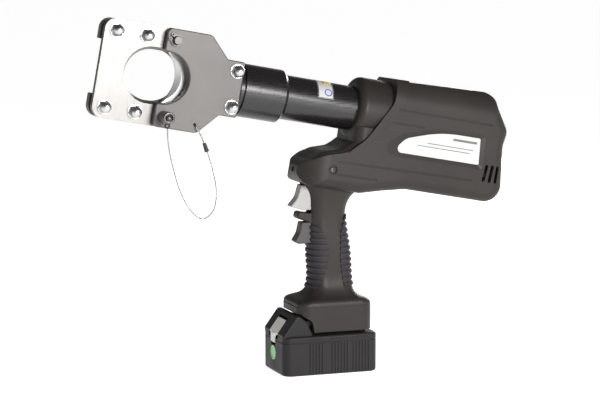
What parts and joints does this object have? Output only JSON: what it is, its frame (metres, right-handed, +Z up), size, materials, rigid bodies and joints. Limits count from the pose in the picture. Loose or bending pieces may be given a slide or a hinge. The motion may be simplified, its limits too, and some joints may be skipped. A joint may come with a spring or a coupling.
{
  "type": "battery hydraulic cable cutter",
  "caption": "Pistol-grip battery hydraulic cutter with a swivelling guillotine head, sliding blade, lock pin on a wire lanyard and slide-off battery",
  "frame": {"origin": "Middle of the flat underside of the battery, which the tool stands on", "axes": "+Z up; -X towards the cutting head; the side with the lock pin is -Y"},
  "size_m": [0.4865, 0.0902, 0.4037],
  "materials": {
    "housing": "fine texture",
    "grip_rubber": "ribbed matt",
    "screw_steel": "zinc plated",
    "white_label": "plain label film",
    "lens": "clear",
    "trigger_light": "satin",
    "trigger_dark": "satin",
    "button_cream": "satin",
    "battery_plastic": "fine texture",
    "badge_green": "plain ring",
    "cell_wrap": "shrink wrap",
    "black_steel": "satin black",
    "yoke_steel": "satin grey",
    "ground_steel": "fine ground",
    "plated_steel": "nickel plated",
    "dark_steel": "blackened",
    "gear_steel": "machined",
    "wire_steel": "stranded wire rope",
    "ferrule_black": "shrink sleeve",
    "motor_steel": "zinc plated",
    "dark_plastic": "moulded",
    "tank_rubber": "smooth"
  },
  "bodies": {
    "housing": {"collar_ring": "screw_steel", "control_board": "dark_plastic", "cylinder_gland": "dark_steel", "cylinder_tube": "black_steel", "front_grip_pad": "grip_rubber", "housing_left": "housing", "housing_right": "housing", "housing_screws": "screw_steel", "led_lens": "lens", "motor_can": "motor_steel", "motor_front_plate": "motor_steel", "name_plate": "white_label", "oil_reservoir": "tank_rubber", "pump_body": "dark_steel", "pump_plunger": "ground_steel", "rear_grip_pad": "grip_rubber", "release_valve": "screw_steel", "retract_switch": "dark_plastic", "ring_gear": "gear_steel", "start_switch": "dark_plastic", "terminal_block": "dark_plastic"},
    "head": {"swivel_collar": "black_steel", "yoke_plate_left": "yoke_steel", "yoke_plate_right": "yoke_steel", "yoke_bolts": "plated_steel", "yoke_nuts": "plated_steel", "hinge_pin": "ground_steel", "hinge_circlips": "dark_steel", "fixed_blade": "ground_steel", "guide_rails": "black_steel", "back_arms": "black_steel", "frame_bolts": "plated_steel", "frame_nuts": "plated_steel", "lanyard_wire": "wire_steel", "lanyard_ferrule": "ferrule_black"},
    "ram": {"moving_blade": "ground_steel", "blade_holder": "dark_steel", "blade_screws": "plated_steel", "ram_rod": "ground_steel", "piston": "ground_steel", "return_spring": "dark_steel"},
    "lock_pin": {"lock_pin": "dark_steel", "lanyard_eye": "dark_steel"},
    "pin_button": {"pin_button": "plated_steel"},
    "start_trigger": {"start_trigger": "trigger_light"},
    "retract_trigger": {"retract_trigger": "trigger_dark"},
    "rotor": {"motor_rotor": "motor_steel", "cooling_fan": "dark_plastic", "sun_pinion": "gear_steel"},
    "carrier": {"planet_carrier": "gear_steel"},
    "planet_1": {"planet_gear_1": "gear_steel"},
    "planet_2": {"planet_gear_2": "gear_steel"},
    "planet_3": {"planet_gear_3": "gear_steel"},
    "battery": {"battery_case_lower": "battery_plastic", "battery_case_upper": "battery_plastic", "battery_cells": "cell_wrap", "battery_badge": "badge_green"},
    "battery_button": {"battery_button": "button_cream"}
  },
  "joints": [
    {"name": "head_swivel", "type": "hinge", "parent": "housing", "child": "head", "pos_m": [-0.07714, 0, 0.31853], "axis": [0.9836, 0, -0.1805], "range_deg": [-175, 175]},
    {"name": "ram_slide", "type": "slide", "parent": "head", "child": "ram", "axis": [-0.9836, 0, 0.1805], "range_m": [0, 0.062], "stiffness_N_per_m": 900, "springref_m": -0.02, "deforming": ["return_spring"]},
    {"name": "lock_pin_slide", "type": "slide", "parent": "head", "child": "lock_pin", "axis": [0, -1, 0], "range_m": [0, 0.07]},
    {"name": "pin_button_press", "type": "slide", "parent": "lock_pin", "child": "pin_button", "axis": [0, 1, 0], "range_m": [0, 0.0018], "stiffness_N_per_m": 900, "springref_m": -0.002},
    {"name": "start_trigger_pull", "type": "slide", "parent": "housing", "child": "start_trigger", "axis": [1, 0, 0], "range_m": [0, 0.006], "stiffness_N_per_m": 900, "springref_m": -0.003},
    {"name": "retract_trigger_pull", "type": "slide", "parent": "housing", "child": "retract_trigger", "axis": [1, 0, 0], "range_m": [0, 0.005], "stiffness_N_per_m": 900, "springref_m": -0.003},
    {"name": "rotor_spin", "type": "hinge", "parent": "housing", "child": "rotor", "pos_m": [0.112, 0, 0.24112], "axis": [0.9836, 0, -0.1805], "continuous": true},
    {"name": "carrier_spin", "type": "hinge", "parent": "housing", "child": "carrier", "pos_m": [0.112, 0, 0.24112], "axis": [0.9836, 0, -0.1805], "continuous": true},
    {"name": "planet_1_spin", "type": "hinge", "parent": "carrier", "child": "planet_1", "pos_m": [0.11416, 0, 0.25292], "axis": [0.9836, 0, -0.1805], "continuous": true},
    {"name": "planet_2_spin", "type": "hinge", "parent": "carrier", "child": "planet_2", "pos_m": [0.11091, -0.01039, 0.23522], "axis": [0.9836, 0, -0.1805], "continuous": true},
    {"name": "planet_3_spin", "type": "hinge", "parent": "carrier", "child": "planet_3", "pos_m": [0.11091, 0.01039, 0.23522], "axis": [0.9836, 0, -0.1805], "continuous": true},
    {"name": "battery_slide", "type": "slide", "parent": "housing", "child": "battery", "axis": [-1, 0, 0], "range_m": [0, 0.078]},
    {"name": "battery_button_press", "type": "slide", "parent": "battery", "child": "battery_button", "axis": [0, 0, -1], "range_m": [0, 0.003], "stiffness_N_per_m": 900, "springref_m": -0.003}
  ],
  "couplings": [
    {"joint": "carrier_spin", "follows": "rotor_spin", "ratio": 0.2},
    {"joint": "planet_1_spin", "follows": "rotor_spin", "ratio": -0.53333},
    {"joint": "planet_2_spin", "follows": "rotor_spin", "ratio": -0.53333},
    {"joint": "planet_3_spin", "follows": "rotor_spin", "ratio": -0.53333}
  ]
}
